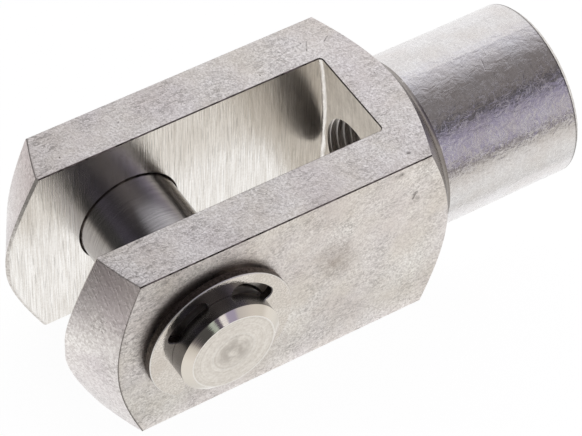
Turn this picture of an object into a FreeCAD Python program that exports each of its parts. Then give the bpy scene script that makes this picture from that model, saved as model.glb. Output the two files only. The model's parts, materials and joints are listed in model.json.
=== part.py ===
"""Rod clevis: a machined fork head, its clevis pin and the two retaining rings that keep the pin in.

The origin is where the pin's axis crosses the main axis. +X runs along the main axis to the threaded
neck, Y is the pin's axis, and +Z is up. The clevis lies on one of its four flat sides. Sizes are in mm.
"""
import FreeCAD
import Part
import Sketcher
import os

Vector = FreeCAD.Vector

# Driving dimensions: name, size, what it is

SIZES = [
    ("bar_side", 40.0, "side of the square bar that the fork is cut from"),
    ("front_reach", 25.0, "pin axis to the flat tips of the ears"),
    ("neck_reach", 80.7, "pin axis to the end of the neck"),
    ("neck_foot", 50.8, "pin axis to the foot of the neck, where the rear cone ends"),
    ("neck_diameter", 34.0, "turned neck"),
    ("neck_foot_fillet", 1.5, "radius left by the turning tool at the neck's foot"),
    ("neck_rim_chamfer", 0.8, "bevel round the end of the neck"),
    ("cone_slope", 30.0, "degrees by which both turned cones lean from a plane across the bar"),
    ("tip_flat", 0.7, "widest part of the flat left on an ear's tip, beside the slot"),
    ("slot_width", 20.4, "gap between the ears"),
    ("slot_depth", 41.9, "pin axis to the deepest line of the slot's bottom"),
    ("cutter_radius", 125.0, "disc cutter that leaves the slot's bottom hollow"),
    ("slot_corner", 0.7, "radius of the cutter's corners"),
    ("edge_break", 0.2, "small bevel along the milled edges"),
    ("tip_break", 0.55, "filed bevel where the slot's sides meet the front cone"),
    ("pin_diameter", 20.0, "clevis pin"),
    ("pin_play", 0.05, "gap all round between the pin and its bore"),
    ("bore_break", 0.3, "small bevel at the mouths of the pin's bore"),
    ("thread_diameter", 20.0, "major diameter of the rod thread"),
    ("thread_mouth", 1.0, "bevel at the thread's mouth"),
    ("ring_gap", 0.55, "ear to retaining ring, with the pin in the middle of its end play"),
    ("ring_thickness", 1.5, "thickness of a retaining ring"),
    ("ring_side_play", 0.05, "gap on each side of a ring in its groove"),
    ("ring_seat_play", 0.05, "gap between a ring's lobes and the floor of its groove"),
    ("ring_diameter", 29.0, "outside of a retaining ring"),
    ("ring_band", 2.3, "width of the springy band between the lobes"),
    ("ring_lobe_angle", 14.0, "degrees from the middle of the centre lobe to its side"),
    ("ring_side_angle", 66.0, "degrees from the middle of the centre lobe to a side lobe"),
    ("ring_mouth", 12.6, "opening between the side lobes at the groove"),
    ("ring_flare", 7.7, "half of the opening where the round ends of the arms start"),
    ("ring_arm_angle", 45.0, "degrees from the middle of the mouth to the end of an arm"),
    ("ring_arm_round", 1.5, "radius of the round end of an arm"),
    ("ring_corner", 1.6, "radius in the corners of the band"),
    ("ring_turn", 2.0, "degrees by which the rings are turned in their grooves"),
    ("ring_edge", 0.15, "edge rolled over by the punch"),
    ("groove_diameter", 15.0, "floor of a ring groove"),
    ("collar_length", 2.95, "pin beyond its groove, up to the bevel"),
    ("bevel_length", 1.2, "bevel at each end of the pin, along its axis"),
    ("end_face_diameter", 16.8, "flat end face of the pin"),
]

# Places worked out from the driving dimensions, as the sheet's own expressions

HALF_BAR = "sizes.bar_side / 2"
OUTSIDE = "sizes.bar_side"
SLOPE = "tan(sizes.cone_slope * 1 deg)"
PIN_RADIUS = "(sizes.pin_diameter / 2)"
BORE_RADIUS = "(sizes.pin_diameter / 2 + sizes.pin_play)"
GROOVE_RADIUS = "(sizes.groove_diameter / 2)"
RING_NEAR = "(sizes.bar_side / 2 + sizes.ring_gap)"
RING_FAR = "(sizes.bar_side / 2 + sizes.ring_gap + sizes.ring_thickness)"
GROOVE_NEAR = "(sizes.bar_side / 2 + sizes.ring_gap - sizes.ring_side_play)"
GROOVE_FAR = "(sizes.bar_side / 2 + sizes.ring_gap + sizes.ring_thickness + sizes.ring_side_play)"
COLLAR_END = GROOVE_FAR[:-1] + " + sizes.collar_length)"
PIN_END = COLLAR_END[:-1] + " + sizes.bevel_length)"
SEAT_RADIUS = "(sizes.groove_diameter / 2 + sizes.ring_seat_play)"
RING_RADIUS = "(sizes.ring_diameter / 2)"
BAND_RADIUS = "(sizes.ring_diameter / 2 - sizes.ring_band)"

doc = FreeCAD.newDocument("rod_clevis")


def make_sheet():
    """Put each driving dimension in a cell of its own, under its name."""
    sheet = doc.addObject("Spreadsheet::Sheet", "sizes")
    for row, (name, size, meaning) in enumerate(SIZES, start=1):
        sheet.set(f"A{row}", str(size))
        sheet.setAlias(f"A{row}", name)
        sheet.set(f"B{row}", "'" + meaning)
    doc.recompute()
    return sheet


sheet = make_sheet()


def value(expression):
    """Number that an expression in the sheet's names stands for now."""
    return float(sheet.evalExpression(expression))


def make_body(name):
    """Empty body whose label is the name of its piece."""
    body = doc.addObject("PartDesign::Body", name)
    body.Label = name
    return body


def origin_part(body, role):
    """One of a body's own origin planes or axes."""
    for feature in body.Origin.OriginFeatures:
        if feature.Role == role:
            return feature
    raise RuntimeError(f"{body.Label} has no {role}")


def make_sketch(body, name, plane, offset="0"):
    """Sketch on an origin plane, moved along the plane's normal by an offset."""
    sketch = body.newObject("Sketcher::SketchObject", name)
    sketch.AttachmentSupport = (origin_part(body, plane), "")
    sketch.MapMode = "FlatFace"
    if offset != "0":
        sketch.AttachmentOffset = FreeCAD.Placement(Vector(0, 0, value(offset)), FreeCAD.Rotation())
        sketch.setExpression("AttachmentOffset.Base.z", offset)
    return sketch


def arc_between(start, end, radius):
    """Shorter arc from start to end. A positive radius turns left on the way, a negative one right."""
    chord = end - start
    rise = (radius * radius - chord.Length ** 2 / 4) ** 0.5
    left = Vector(-chord.y, chord.x, 0).normalize()
    side = 1 if radius > 0 else -1
    centre = (start + end) / 2 + left * rise * side
    middle = (start + end) / 2 - centre
    return Part.Arc(start, centre + middle.normalize() * abs(radius), end)


def draw_outline(sketch, corners, arcs=None):
    """Closed outline with each corner bound to the sheet. arcs gives the radius of the sides that bend."""
    arcs = arcs or {}
    places = [Vector(value(across), value(up), 0) for across, up in corners]
    for side, start in enumerate(places):
        end = places[(side + 1) % len(places)]
        if side in arcs:
            sketch.addGeometry(arc_between(start, end, value(arcs[side])))
        else:
            sketch.addGeometry(Part.LineSegment(start, end))
    for side, (across, up) in enumerate(corners):
        first, last = end_points(side, arcs)
        following = (side + 1) % len(corners)
        next_first = end_points(following, arcs)[0]
        sketch.addConstraint(Sketcher.Constraint("Coincident", side, last, following, next_first))
        bind_length(sketch, "DistanceX", side, first, across, f"across_{side}")
        bind_length(sketch, "DistanceY", side, first, up, f"up_{side}")
        if side in arcs:
            index = sketch.addConstraint(Sketcher.Constraint("Radius", side, abs(value(arcs[side]))))
            sketch.renameConstraint(index, f"radius_{side}")
            sketch.setExpression(f"Constraints.radius_{side}", f"abs({arcs[side]})")


def end_points(side, arcs):
    """Numbers of a side's first and last points. A right-hand arc is stored the other way round."""
    if str(arcs.get(side, "")).startswith("-"):
        return 2, 1
    return 1, 2


def bind_length(sketch, direction, side, point, expression, name):
    """Bind a point's distance from one axis, or put it on that axis."""
    if expression == "0":
        axis = -2 if direction == "DistanceX" else -1
        sketch.addConstraint(Sketcher.Constraint("PointOnObject", side, point, axis))
        return
    index = sketch.addConstraint(Sketcher.Constraint(direction, -1, 1, side, point, value(expression)))
    sketch.renameConstraint(index, name)
    sketch.setExpression(f"Constraints.{name}", expression)


def draw_circle(sketch, radius):
    """Circle round the sketch's origin."""
    circle = sketch.addGeometry(Part.Circle(Vector(0, 0, 0), Vector(0, 0, 1), value(radius)))
    sketch.addConstraint(Sketcher.Constraint("Coincident", circle, 3, -1, 1))
    index = sketch.addConstraint(Sketcher.Constraint("Radius", circle, value(radius)))
    sketch.renameConstraint(index, "radius")
    sketch.setExpression("Constraints.radius", radius)


def finish(body, feature, cuts):
    """Recompute, and stop if a cut took nothing away or an addition added nothing."""
    before = feature.BaseFeature.Shape.Volume if feature.BaseFeature else 0.0
    body.Tip = feature
    doc.recompute()
    if "Invalid" in feature.State or "Error" in feature.State:
        raise RuntimeError(f"{feature.Label} failed: {feature.State}")
    change = feature.Shape.Volume - before
    if abs(change) < 1e-3 or (change < 0) != cuts:
        raise RuntimeError(f"{feature.Label} changed the volume by {change:.4f} mm3")
    return feature


def extrude(body, kind, name, sketch, length, symmetric=False):
    """Pad or pocket of a sketch, as long as the sheet says."""
    feature = body.newObject(f"PartDesign::{kind}", name)
    feature.Profile = sketch
    feature.SideType = "Symmetric" if symmetric else "One side"
    feature.setExpression("Length", length)
    return finish(body, feature, kind == "Pocket")


def turn(body, kind, name, sketch, axis):
    """Revolution or groove of a sketch, all the way round one of the body's origin axes."""
    feature = body.newObject(f"PartDesign::{kind}", name)
    feature.Profile = sketch
    feature.ReferenceAxis = (origin_part(body, axis), [""])
    feature.Angle = 360
    return finish(body, feature, kind == "Groove")


def edges_where(feature, test):
    """Names of the edges whose middle point and both ends pass a test."""
    names = []
    for number, edge in enumerate(feature.Shape.Edges, start=1):
        first, last = edge.ParameterRange
        points = [edge.valueAt(first), edge.valueAt((first + last) / 2), edge.valueAt(last)]
        if all(test(point) for point in points):
            names.append(f"Edge{number}")
    return names


def dress(body, kind, name, base, test, size, cuts=True):
    """Chamfer or fillet of the edges that a test picks."""
    names = edges_where(base, test)
    if not names:
        raise RuntimeError(f"{name} found no edges")
    feature = body.newObject(f"PartDesign::{kind}", name)
    feature.Base = (base, names)
    feature.setExpression("Radius" if kind == "Fillet" else "Size", size)
    return finish(body, feature, cuts)


def near(one, other):
    """True where two lengths agree."""
    return abs(one - other) < 1e-4


# Fork head: square bar, coned at both ends, turned down to the neck, slotted, bored and tapped

def make_fork_head():
    body = make_body("fork_head")
    half = value(HALF_BAR)
    slot_half = value("sizes.slot_width / 2")

    section = make_sketch(body, "bar_section", "YZ_Plane", "-sizes.front_reach")
    draw_outline(section, [
        (f"-{HALF_BAR}", f"-{HALF_BAR}"),
        (HALF_BAR, f"-{HALF_BAR}"),
        (HALF_BAR, HALF_BAR),
        (f"-{HALF_BAR}", HALF_BAR),
    ])
    bar = extrude(body, "Pad", "square_bar", section, "sizes.front_reach + sizes.neck_reach")

    def on_bar_corner(point):
        return near(abs(point.y), half) and near(abs(point.z), half)

    broken = dress(body, "Chamfer", "bar_edge_break", bar, on_bar_corner, "sizes.edge_break")

    nose = make_sketch(body, "front_cone", "XZ_Plane")
    tip = "(sizes.slot_width / 2 + sizes.tip_flat)"
    draw_outline(nose, [
        ("-sizes.front_reach", tip),
        (f"({OUTSIDE} - {tip}) * {SLOPE} - sizes.front_reach", OUTSIDE),
        (f"-sizes.front_reach - {OUTSIDE} / 10", OUTSIDE),
        (f"-sizes.front_reach - {OUTSIDE} / 10", tip),
    ])
    turn(body, "Groove", "front_turning", nose, "X_Axis")

    neck = make_sketch(body, "neck_profile", "XZ_Plane")
    neck_radius = "sizes.neck_diameter / 2"
    draw_outline(neck, [
        ("sizes.neck_foot", neck_radius),
        (f"sizes.neck_reach + {OUTSIDE} / 10", neck_radius),
        (f"sizes.neck_reach + {OUTSIDE} / 10", OUTSIDE),
        (f"sizes.neck_foot - ({OUTSIDE} - {neck_radius}) * {SLOPE}", OUTSIDE),
    ])
    turned = turn(body, "Groove", "neck_turning", neck, "X_Axis")

    foot_x = value("sizes.neck_foot")
    rim_x = value("sizes.neck_reach")
    neck_size = value(neck_radius)

    def on_neck_foot(point):
        return near(point.x, foot_x) and near((point.y ** 2 + point.z ** 2) ** 0.5, neck_size)

    def on_neck_rim(point):
        return near(point.x, rim_x) and near((point.y ** 2 + point.z ** 2) ** 0.5, neck_size)

    filled = dress(
        body, "Fillet", "neck_foot_fillet", turned, on_neck_foot, "sizes.neck_foot_fillet", cuts=False)
    dress(body, "Chamfer", "neck_rim_chamfer", filled, on_neck_rim, "sizes.neck_rim_chamfer")

    slot = make_sketch(body, "slot_profile", "XZ_Plane")
    beyond = f"({HALF_BAR} + {OUTSIDE} / 10)"
    end_line = f"sizes.slot_depth - sizes.cutter_radius + sqrt(sizes.cutter_radius ^ 2 - {beyond} ^ 2)"
    draw_outline(slot, [
        (f"-sizes.front_reach - {OUTSIDE} / 10", f"-{beyond}"),
        (end_line, f"-{beyond}"),
        (end_line, beyond),
        (f"-sizes.front_reach - {OUTSIDE} / 10", beyond),
    ], {1: "sizes.cutter_radius"})
    slotted = extrude(body, "Pocket", "slot", slot, "sizes.slot_width", symmetric=True)

    bottom_edge = value(end_line)

    def on_slot_corner(point):
        return near(abs(point.y), slot_half) and point.x > bottom_edge

    rounded = dress(
        body, "Fillet", "slot_corner_fillet", slotted, on_slot_corner, "sizes.slot_corner", cuts=False)

    def on_slot_rim(point):
        return near(abs(point.z), half) and abs(point.y) < slot_half + 1e-4 and point.x < foot_x

    rimmed = dress(body, "Chamfer", "slot_edge_break", rounded, on_slot_rim, "sizes.edge_break")
    ear_corner = f"sqrt(({HALF_BAR}) ^ 2 + (sizes.slot_width / 2) ^ 2)"
    cone_end = value(f"({ear_corner} - {tip}) * {SLOPE} - sizes.front_reach")

    def on_ear_tip(point):
        return near(abs(point.y), slot_half) and point.x < cone_end + 1e-4

    dress(body, "Chamfer", "ear_tip_break", rimmed, on_ear_tip, "sizes.tip_break")

    bore = make_sketch(body, "pin_bore_circle", "XZ_Plane")
    draw_circle(bore, BORE_RADIUS)
    bored = extrude(body, "Pocket", "pin_bore", bore, "sizes.bar_side * 2", symmetric=True)
    bore_size = value(BORE_RADIUS)

    def on_bore_mouth(point):
        return near((point.x ** 2 + point.z ** 2) ** 0.5, bore_size)

    dress(body, "Chamfer", "bore_mouth_break", bored, on_bore_mouth, "sizes.bore_break")

    tapping = make_sketch(body, "thread_circle", "YZ_Plane", "sizes.neck_reach")
    draw_circle(tapping, "sizes.thread_diameter / 2")
    tapped = extrude(
        body, "Pocket", "rod_thread", tapping, "sizes.neck_reach - sizes.slot_depth + sizes.bar_side / 10")
    thread_radius = value("sizes.thread_diameter / 2")

    def on_thread_mouth(point):
        return near(point.x, rim_x) and near((point.y ** 2 + point.z ** 2) ** 0.5, thread_radius)

    dress(body, "Chamfer", "thread_mouth_bevel", tapped, on_thread_mouth, "sizes.thread_mouth")
    return body


# Clevis pin: turned in one piece, with the same ring groove and bevelled collar at both ends

def make_clevis_pin():
    body = make_body("clevis_pin")
    profile = make_sketch(body, "pin_profile", "XY_Plane")
    half_profile = [
        ("sizes.end_face_diameter / 2", PIN_END),
        (PIN_RADIUS, COLLAR_END),
        (PIN_RADIUS, GROOVE_FAR),
        (GROOVE_RADIUS, GROOVE_FAR),
        (GROOVE_RADIUS, GROOVE_NEAR),
        (PIN_RADIUS, GROOVE_NEAR),
    ]
    front_half = [(radius, f"-{along}") for radius, along in half_profile]
    ends = [("0", PIN_END), ("0", f"-{PIN_END}")]
    draw_outline(profile, front_half + half_profile[::-1] + ends)
    turn(body, "Revolution", "turned_pin", profile, "Y_Axis")
    return body


# Retaining ring: punched from spring sheet, open, with three lobes that reach the groove's floor

def polar(radius, angle):
    """Corner of the ring's outline at an angle in degrees, anticlockwise from the ring's right side."""
    return f"{radius} * cos(({angle}) * 1 deg)", f"{radius} * sin(({angle}) * 1 deg)"


def make_ring(name, outward_face):
    body = make_body(name)
    outline = make_sketch(body, "ring_outline", "XZ_Plane")
    arm = "sizes.ring_arm_angle"
    side = "sizes.ring_side_angle"
    lobe = "sizes.ring_lobe_angle"
    mouth = f"sqrt({SEAT_RADIUS} ^ 2 - (sizes.ring_mouth / 2) ^ 2)"
    flare = f"{RING_RADIUS} * cos({arm} * 1 deg) - sizes.ring_arm_round / 2"
    corners = [
        polar(RING_RADIUS, f"-90 + {arm}"),
        ("0", RING_RADIUS),
        polar(RING_RADIUS, f"270 - {arm}"),
        ("-sizes.ring_flare", f"-({flare})"),
        ("-sizes.ring_mouth / 2", f"-{mouth}"),
        polar(SEAT_RADIUS, f"90 + {side}"),
        polar(BAND_RADIUS, f"90 + {side}"),
        polar(BAND_RADIUS, f"90 + {lobe}"),
        polar(SEAT_RADIUS, f"90 + {lobe}"),
        polar(SEAT_RADIUS, f"90 - {lobe}"),
        polar(BAND_RADIUS, f"90 - {lobe}"),
        polar(BAND_RADIUS, f"90 - {side}"),
        polar(SEAT_RADIUS, f"90 - {side}"),
        ("sizes.ring_mouth / 2", f"-{mouth}"),
        ("sizes.ring_flare", f"-({flare})"),
    ]
    draw_outline(outline, corners, {
        0: RING_RADIUS,
        1: RING_RADIUS,
        2: "sizes.ring_arm_round",
        4: f"-{SEAT_RADIUS}",
        6: f"-{BAND_RADIUS}",
        8: f"-{SEAT_RADIUS}",
        10: f"-{BAND_RADIUS}",
        12: f"-{SEAT_RADIUS}",
        14: "sizes.ring_arm_round",
    })
    blank = extrude(body, "Pad", "punched_ring", outline, "sizes.ring_thickness")
    band = value(BAND_RADIUS)

    def is_band_corner(number):
        edge = blank.Shape.Edges[number - 1]
        first, last = edge.ParameterRange
        start, end = edge.valueAt(first), edge.valueAt(last)
        upright = near(start.x, end.x) and near(start.z, end.z)
        return upright and near((start.x ** 2 + start.z ** 2) ** 0.5, band)

    fillet = body.newObject("PartDesign::Fillet", "band_corners")
    numbers = range(1, len(blank.Shape.Edges) + 1)
    fillet.Base = (blank, [f"Edge{number}" for number in numbers if is_band_corner(number)])
    fillet.setExpression("Radius", "sizes.ring_corner")
    finish(body, fillet, False)
    face_y = -value("sizes.ring_thickness") if outward_face == "front" else 0.0

    def on_outward_face(point):
        return near(point.y, face_y)

    dress(body, "Chamfer", "rolled_edge", fillet, on_outward_face, "sizes.ring_edge")

    place = f"-{RING_NEAR}" if outward_face == "front" else RING_FAR
    turned = FreeCAD.Rotation(Vector(0, 1, 0), -value("sizes.ring_turn"))
    body.Placement = FreeCAD.Placement(Vector(0, value(place), 0), turned)
    body.setExpression("Placement.Base.y", place)
    return body


pieces = [
    make_fork_head(),
    make_clevis_pin(),
    make_ring("front_clip", "front"),
    make_ring("rear_clip", "rear"),
]

# Every object has to be sound before a piece is written

doc.recompute()
for thing in doc.Objects:
    if "Invalid" in thing.State or "Error" in thing.State:
        raise RuntimeError(f"{thing.Label} is not sound: {thing.State}")
os.makedirs("parts", exist_ok=True)
for piece in pieces:
    shape = piece.Shape
    if shape.isNull() or not shape.isValid() or len(shape.Solids) != 1:
        raise RuntimeError(f"{piece.Label} has no valid solid")
    shape.exportStep(f"parts/{piece.Label}.step")
    box = shape.optimalBoundingBox(False)
    print(f"{piece.Label}: {shape.Volume:.1f} mm3, x {box.XMin:.2f} to {box.XMax:.2f}, "
          f"y {box.YMin:.2f} to {box.YMax:.2f}, z {box.ZMin:.2f} to {box.ZMax:.2f}")
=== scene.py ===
# %% [markdown]
# # A rod clevis in stainless steel
#
# A rod clevis is the fork on the end of a pneumatic cylinder's rod. One square bar is turned, slotted,
# bored and tapped to make the fork head. A ground pin crosses the fork, and a punched ring in a groove at
# each end keeps it in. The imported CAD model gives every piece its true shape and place. This notebook adds
# the cut thread and the finishes that each machine leaves, then the studio, the lights and the camera.

# %% Tools and frame
import math
import json

import bmesh
import bpy
from mathutils import Matrix, Vector


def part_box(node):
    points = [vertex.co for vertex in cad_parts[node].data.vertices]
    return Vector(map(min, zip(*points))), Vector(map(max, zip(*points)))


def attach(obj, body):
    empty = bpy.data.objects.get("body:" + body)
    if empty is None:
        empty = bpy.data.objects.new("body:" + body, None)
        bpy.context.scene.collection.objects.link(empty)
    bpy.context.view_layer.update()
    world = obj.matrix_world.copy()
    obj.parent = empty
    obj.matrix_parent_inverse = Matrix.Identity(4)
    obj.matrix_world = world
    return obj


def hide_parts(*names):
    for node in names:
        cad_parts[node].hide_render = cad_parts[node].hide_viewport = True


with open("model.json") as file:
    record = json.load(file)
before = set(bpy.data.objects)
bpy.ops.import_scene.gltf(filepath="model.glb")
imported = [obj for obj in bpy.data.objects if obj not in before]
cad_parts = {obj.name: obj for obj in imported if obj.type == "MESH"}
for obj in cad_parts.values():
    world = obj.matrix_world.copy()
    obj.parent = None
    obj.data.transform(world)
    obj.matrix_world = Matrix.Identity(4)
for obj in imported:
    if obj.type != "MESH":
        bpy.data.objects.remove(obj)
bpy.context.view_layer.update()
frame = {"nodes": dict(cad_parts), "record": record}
nodes = frame["nodes"]
MM = 0.001
print("pieces from the CAD model:", ", ".join(sorted(nodes)))

# %% [markdown]
# ## Sizes
#
# The looks depend on a few sizes of the real part. Those that the frame can give are read from it. The
# rest are the CAD model's own: the neck, the slot and its cutter, the cone's slope and the thread's pitch.

# %% Sizes in metres
fork_low, fork_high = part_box("fork_head")
pin_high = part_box("clevis_pin")[1]
thread_mount = next(mount for mount in frame["record"]["mounts"] if mount["name"] == "rod_thread")

half_bar = fork_high[2]
neck_end = fork_high[0]
ear_tip = fork_low[0]
pin_radius = pin_high[2]
thread_major = thread_mount["dims"]["r_mm"] * MM
thread_pitch = 1.5 * MM
thread_depth = 0.541 * thread_pitch     # of an inner thread in steel
mouth_bevel = 1.0 * MM
neck_foot = 50.8 * MM
slot_half = 10.2 * MM
slot_depth = 41.9 * MM
cutter_radius = 125.0 * MM
slot_corner = 0.7 * MM
tip_radius = slot_half + 0.7 * MM       # where the front cone starts, round the main axis
cone_slope = math.tan(math.radians(30))
print(f"bar {half_bar * 2000:.1f} mm square, neck ends {neck_end * 1000:.1f} mm from the pin")

# %% [markdown]
# ## Colours and nodes
#
# Colours are written as the hex values that a screen shows, and one function turns them into the linear
# values that a renderer adds up. One more function adds a node to a material with its settings and its
# links, so that each finish below reads as a short list of what it is made of.

# %% Helpers for colours and nodes
SHARE, UNDER, OVER, MIXED = 0, 6, 7, 2      # sockets of a node that mixes two colours, and its result


def linear(hex_colour):
    """Linear red, green, blue and alpha of an sRGB hex colour."""
    channels = [int(hex_colour[start:start + 2], 16) / 255 for start in (1, 3, 5)]
    light = [c / 12.92 if c <= 0.04045 else ((c + 0.055) / 1.055) ** 2.4 for c in channels]
    return (*light, 1.0)


def add(tree, kind, links=None, **settings):
    """Add a node. links maps a socket to a value, to a node, or to a node and the name of its output."""
    node = tree.nodes.new(kind)
    for name, setting in settings.items():
        setattr(node, name, setting)
    for socket, source in (links or {}).items():
        if isinstance(source, bpy.types.Node):
            tree.links.new(source.outputs[0], node.inputs[socket])
        elif isinstance(source, tuple) and isinstance(source[0], bpy.types.Node):
            tree.links.new(source[0].outputs[source[1]], node.inputs[socket])
        else:
            node.inputs[socket].default_value = source
    return node


def new_material(name):
    """Empty material and its node tree."""
    material = bpy.data.materials.new(name)
    material.use_nodes = True
    material.node_tree.nodes.clear()
    return material, material.node_tree


print("a grey of #808080 reflects", round(linear("#808080")[0], 3), "of the light")

# %% [markdown]
# ## Stainless steel as a base
#
# Every piece is the same kind of metal: chromium-nickel stainless steel. It is a pale, slightly warm grey
# that reflects about two thirds of the light. What tells the faces apart is how they were cut, because
# the marks of each machine scatter the light their own way. So one function makes the metal, and each
# finish hands it a colour, a roughness and the height of its marks. Long parallel marks scatter light only
# across themselves, which is what anisotropic means: a finish with such marks names that direction.

# %% The metal itself
def stainless(tree, colour, roughness, height, relief, across=None, spread=0.0):
    """Metal of a colour, a roughness and a height with its relief in mm. across is the way over marks."""
    bump = add(tree, "ShaderNodeBump", {"Height": height, "Distance": relief * MM, "Strength": 1.0})
    metal = add(tree, "ShaderNodeBsdfPrincipled", {
        "Base Color": colour, "Roughness": roughness, "Normal": bump, "Metallic": 1.0})
    if across:
        metal.inputs["Anisotropic"].default_value = spread
        way = add(tree, "ShaderNodeCombineXYZ", dict(enumerate(across)))
        tree.links.new(way.outputs[0], metal.inputs["Tangent"])
    add(tree, "ShaderNodeOutputMaterial", {"Surface": metal})

# %% [markdown]
# Every mark is a pattern in the piece's own coordinates, counted in real millimetres, so it keeps its size
# and moves with its piece. Noise gives grain, and stretched noise gives streaks. Noise counted along a
# radius gives the rings of a tool, cells give pits, and the distance to a line gives a scratch.

# %% Patterns of the marks
NOISE_LOW, NOISE_HIGH = 0.35, 0.65      # most of a noise lies between these values
EDGE_SHARE = 3                          # a drawn mark has its full strength within a third of its width
PITTED_CELLS = 0.62                     # a cell whose random value is above this holds a pit


def parts_of(tree, kind="Object"):
    """The parts along X, Y and Z of a place on the piece, of its normal, or of a way into the room."""
    place = add(tree, "ShaderNodeTexCoord")
    return add(tree, "ShaderNodeSeparateXYZ", {0: (place, kind)})


def from_axis(tree, axis):
    """Distance of a place on the piece from one of its axes."""
    across = [1.0, 1.0, 1.0]
    across[axis] = 0.0
    place = add(tree, "ShaderNodeTexCoord")
    flat = add(tree, "ShaderNodeVectorMath", {0: (place, "Object"), 1: across}, operation="MULTIPLY")
    return add(tree, "ShaderNodeVectorMath", {0: flat}, operation="LENGTH"), "Value"


def counted_place(tree, *sizes):
    """Place on the piece, counted in marks: one size in mm for all ways, or one each along X, Y and Z."""
    place = add(tree, "ShaderNodeTexCoord")
    counts = [1 / (size * MM) for size in sizes] * (3 // len(sizes))
    return add(tree, "ShaderNodeVectorMath", {0: (place, "Object"), 1: counts}, operation="MULTIPLY")


def marks(tree, *sizes, detail=2.0, bend=0.0, low=NOISE_LOW, high=NOISE_HIGH):
    """Random marks, as a height from 0 to 1: one size in mm for all ways, or one each along X, Y and Z."""
    place = counted_place(tree, *sizes)
    noise = add(tree, "ShaderNodeTexNoise", {
        "Vector": place, "Scale": 1.0, "Detail": detail, "Distortion": bend})
    return add(tree, "ShaderNodeMapRange", {"Value": noise, "From Min": low, "From Max": high})

# %% Rings, pits and scratches
def rings(tree, axis, feed, wander, detail=1.0):
    """Marks of a turning tool round an axis: feed is a ring's width and wander its length, in mm."""
    rise = add(tree, "ShaderNodeMath", {0: (parts_of(tree), axis), 1: from_axis(tree, axis)}, operation="ADD")
    step = add(tree, "ShaderNodeMath", {0: rise, 1: 1 / (feed * MM)}, operation="MULTIPLY")
    joined = add(tree, "ShaderNodeCombineXYZ", {axis: step})
    # An endless size counts nothing along the axis itself.
    drift = counted_place(tree, *[math.inf if way == axis else wander for way in range(3)])
    spot = add(tree, "ShaderNodeVectorMath", {0: joined, 1: drift}, operation="ADD")
    noise = add(tree, "ShaderNodeTexNoise", {"Vector": spot, "Scale": 1.0, "Detail": detail})
    return add(tree, "ShaderNodeMapRange", {"Value": noise, "From Min": NOISE_LOW, "From Max": NOISE_HIGH})


def pits(tree, spacing, size):
    """Small round pits: 1 inside a pit and 0 outside, one in about three cells of the given spacing."""
    place = counted_place(tree, spacing)
    cells = add(tree, "ShaderNodeTexVoronoi", {"Vector": place, "Scale": 1.0})
    chosen = add(tree, "ShaderNodeMath", {0: (cells, "Color"), 1: PITTED_CELLS}, operation="GREATER_THAN")
    inside = add(tree, "ShaderNodeMapRange", {
        "Value": (cells, "Distance"), "From Min": size / spacing, "From Max": size / spacing / 2})
    return add(tree, "ShaderNodeMath", {0: chosen, 1: inside}, operation="MULTIPLY")


def near_line(tree, start, end, width):
    """1 on a short line between two points in mm, such as a scratch, and 0 beyond its width in mm."""
    start, end = Vector(start) * MM, Vector(end) * MM
    place = add(tree, "ShaderNodeTexCoord")
    offset = add(tree, "ShaderNodeVectorMath", {0: (place, "Object"), 1: start}, operation="SUBTRACT")
    run = (end - start) / (end - start).length_squared
    share = add(tree, "ShaderNodeVectorMath", {0: offset, 1: run}, operation="DOT_PRODUCT")
    held = add(tree, "ShaderNodeClamp", {"Value": (share, "Value")})
    foot = add(tree, "ShaderNodeVectorMath", {0: end - start, "Scale": held}, operation="SCALE")
    gap = add(tree, "ShaderNodeVectorMath", {0: offset, 1: foot}, operation="DISTANCE")
    return add(tree, "ShaderNodeMapRange", {
        "Value": (gap, "Value"), "From Min": width * MM, "From Max": width * MM / EDGE_SHARE})

# %% [markdown]
# Patterns are joined in three ways: the largest of several at each place, a sum in which each has its share,
# and one colour laid over another. The plainest finishes need only one pattern, which sets their colour,
# their roughness and their height alike.

# %% Ways to join patterns
def any_of(tree, masks):
    """Largest of several masks at each place."""
    whole = masks[0]
    for mask in masks[1:]:
        whole = add(tree, "ShaderNodeMath", {0: whole, 1: mask}, operation="MAXIMUM")
    return whole


def weighed(tree, shares):
    """Sum of several values, each times its share."""
    total = 0.0
    for height, share in shares:
        total = add(tree, "ShaderNodeMath", {0: height, 1: share, 2: total}, operation="MULTIPLY_ADD")
    return total


def laid_over(tree, mask, under, over, share=1.0):
    """Colour over, laid on the colour under where the mask is, at a share of its full strength."""
    strength = add(tree, "ShaderNodeMath", {0: mask, 1: share}, operation="MULTIPLY")
    return add(tree, "ShaderNodeMix", {SHARE: strength, UNDER: under, OVER: over}, data_type="RGBA"), MIXED


def one_height(material, height, colours, roughnesses, relief):
    """Finish a material whose height sets its colour and roughness too. Each pair runs from low to high."""
    tree = material.node_tree
    low, high = [linear(colour) for colour in colours]
    colour = laid_over(tree, height, low, high)
    roughness = add(tree, "ShaderNodeMapRange", {
        "Value": height, "To Min": roughnesses[0], "To Max": roughnesses[1]})
    stainless(tree, colour, roughness, height, relief)
    return material
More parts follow.
